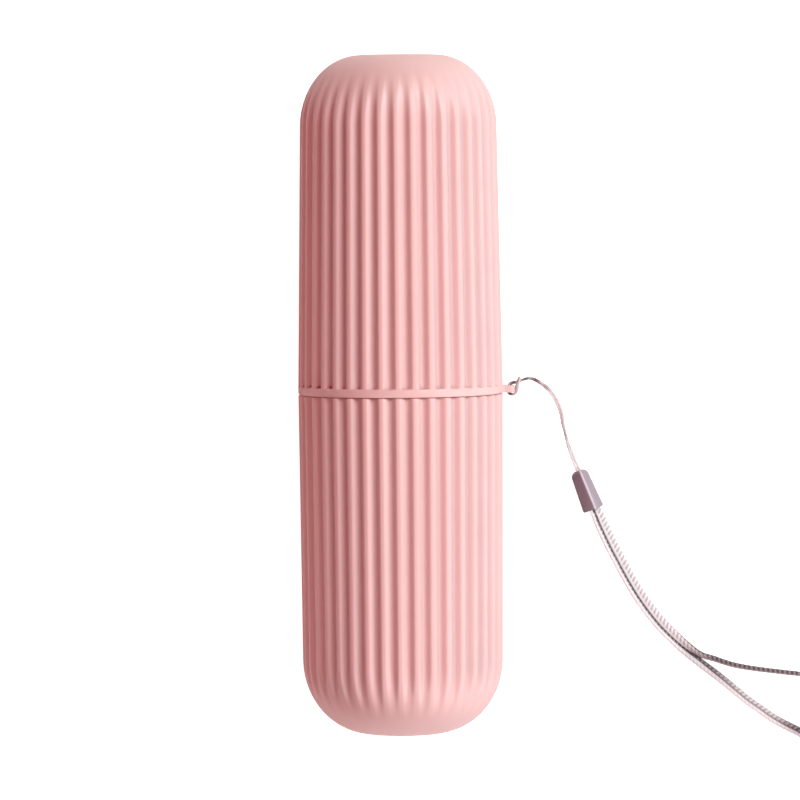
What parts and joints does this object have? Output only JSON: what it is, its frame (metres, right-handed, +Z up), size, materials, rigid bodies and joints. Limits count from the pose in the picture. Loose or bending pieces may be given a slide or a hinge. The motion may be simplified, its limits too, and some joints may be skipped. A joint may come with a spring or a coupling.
{
  "type": "toothbrush travel case",
  "caption": "Fluted capsule case that stores and carries a toothbrush: two halves push together over a neck sleeve, and a wrist strap is hitched to an eye on the rim.",
  "frame": {"origin": "on the surface that the case lies on, below the middle of the case and its strap eye, the strap left out", "axes": "+Y along the case's axis towards the upper half's closed end, +X towards the strap eye, +Z up from the surface that the case lies on, towards the picture's camera"},
  "size_m": [0.1955, 0.226, 0.0604],
  "materials": {
    "case_shell": "satin moulded plastic with a fine grain",
    "neck_sleeve": "smooth moulded plastic",
    "string": "thin twisted string",
    "connector": "satin moulded plastic",
    "connector_inner": "plain moulded plastic",
    "wrist_cord": "flat braided cord"
  },
  "bodies": {
    "cap": {"upper_cap": "case_shell", "neck_sleeve": "neck_sleeve", "string_loop": "string", "connector_sleeve": "connector", "connector_plug": "connector_inner", "wrist_cord": "wrist_cord"},
    "cup": {"lower_cup": "case_shell"}
  },
  "joints": [
    {"name": "cup_pull", "type": "slide", "parent": "cap", "child": "cup", "axis": [0, -1, 0], "range_m": [0, 0.09]}
  ]
}
